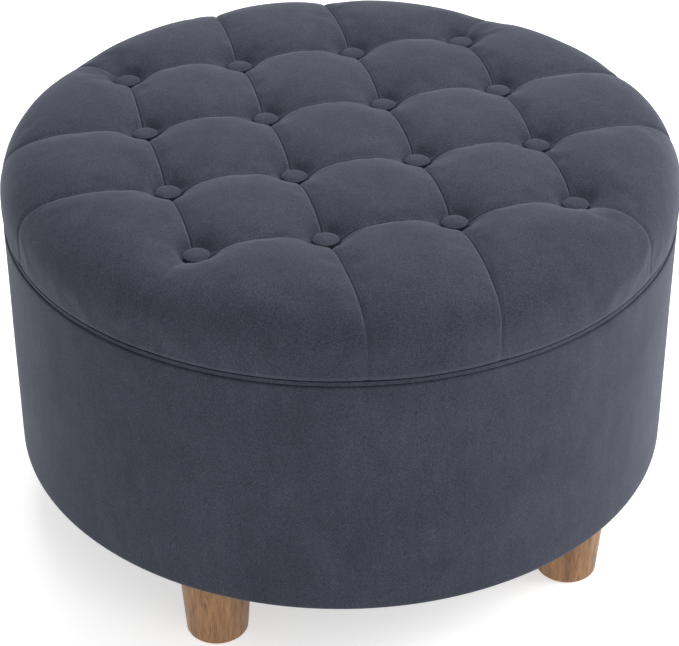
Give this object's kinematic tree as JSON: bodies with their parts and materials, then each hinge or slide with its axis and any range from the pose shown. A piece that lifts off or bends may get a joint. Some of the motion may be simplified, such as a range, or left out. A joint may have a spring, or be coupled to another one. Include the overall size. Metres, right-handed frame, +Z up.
{
  "type": "storage ottoman",
  "caption": "Round storage ottoman in grey velvet: padded drum on tapered wooden legs, with a button-tufted lift-off cushion lid.",
  "frame": {"origin": "on the floor, at the centre of the drum", "axes": "+Z up along the drum's axis; -Y towards the front; the tufting rows run along X"},
  "size_m": [0.635, 0.6348, 0.402],
  "materials": {
    "velvet": "matte",
    "leg_wood": "satin",
    "plywood": "matte",
    "foam": "matte",
    "wadding": "matte",
    "lining": "matte",
    "steel": "satin",
    "twine": "matte",
    "washer_plastic": "matte"
  },
  "bodies": {
    "base": {"leg_front_left": "leg_wood", "leg_front_right": "leg_wood", "leg_back_left": "leg_wood", "leg_back_right": "leg_wood", "hanger_bolts": "steel", "tee_nuts": "steel", "base_panel": "plywood", "drum_wall": "plywood", "top_hoop": "plywood", "wall_screws": "steel", "hoop_screws": "steel", "hem_staples": "steel", "rim_staples": "steel", "wall_padding": "foam", "body_cover": "velvet", "dust_cover": "lining", "floor_lining": "lining", "wall_lining": "lining"},
    "lid": {"lid_board": "plywood", "locating_ring": "plywood", "ring_screws": "steel", "lid_lining": "lining", "edge_band": "velvet", "band_staples": "steel", "seat_foam": "foam", "fibre_wadding": "wadding", "seat_cover": "velvet", "button_1_1": "velvet", "button_1_2": "velvet", "button_1_3": "velvet", "button_1_4": "velvet", "button_2_1": "velvet", "button_2_2": "velvet", "button_2_3": "velvet", "button_2_4": "velvet", "button_3_1": "velvet", "button_3_2": "velvet", "button_3_3": "velvet", "button_3_4": "velvet", "button_4_1": "velvet", "button_4_2": "velvet", "button_4_3": "velvet", "button_4_4": "velvet", "button_backs": "steel", "tufting_twine": "twine", "tie_washers": "washer_plastic"}
  },
  "joints": [
    {"name": "lid_lift", "type": "slide", "parent": "base", "child": "lid", "axis": [0, 0, 1], "range_m": [0, 0.35]}
  ]
}
